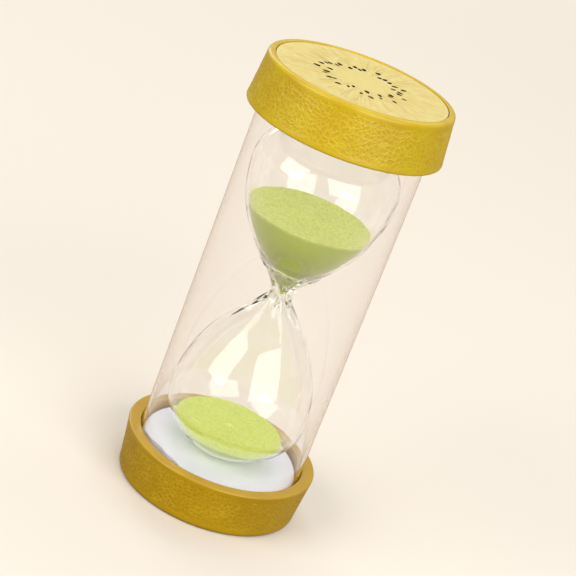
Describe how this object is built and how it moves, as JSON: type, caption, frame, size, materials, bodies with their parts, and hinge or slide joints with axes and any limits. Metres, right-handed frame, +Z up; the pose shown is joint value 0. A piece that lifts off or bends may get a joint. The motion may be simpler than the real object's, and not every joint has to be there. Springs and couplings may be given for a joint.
{
  "type": "hourglass",
  "caption": "Round sand timer: clear tube between yellow peel-textured caps with printed kiwi slice faces, waisted glass bulbs held in white foam inside, part filled with lime green sand.",
  "frame": {"origin": "centre of the lower cap's outer face, on the surface that the timer stands on", "axes": "+Z up along the timer's axis; the object is round, and +Y points away from the front view"},
  "size_m": [0.0678, 0.0678, 0.1564],
  "materials": {
    "cap_plastic": "moulded golden yellow plastic, fine peel texture on the side, smooth lip and rim",
    "slice_print": "printed golden kiwi slice under a gloss film",
    "adhesive_film": "double-sided adhesive film",
    "clear_acrylic": "clear polished acrylic",
    "foam_white": "white closed-cell foam",
    "bulb_glass": "clear blown glass",
    "stopper_rubber": "soft white rubber",
    "sand_lime": "fine lime green sand"
  },
  "bodies": {
    "root": {"lower_end_cap": "cap_plastic", "upper_end_cap": "cap_plastic", "lower_slice_disc": "slice_print", "upper_slice_disc": "slice_print", "lower_disc_adhesive": "adhesive_film", "upper_disc_adhesive": "adhesive_film", "clear_tube": "clear_acrylic", "lower_foam_pad": "foam_white", "upper_foam_pad": "foam_white", "glass_bulbs": "bulb_glass", "fill_stopper": "stopper_rubber", "upper_sand": "sand_lime", "lower_sand": "sand_lime"}
  },
  "joints": []
}
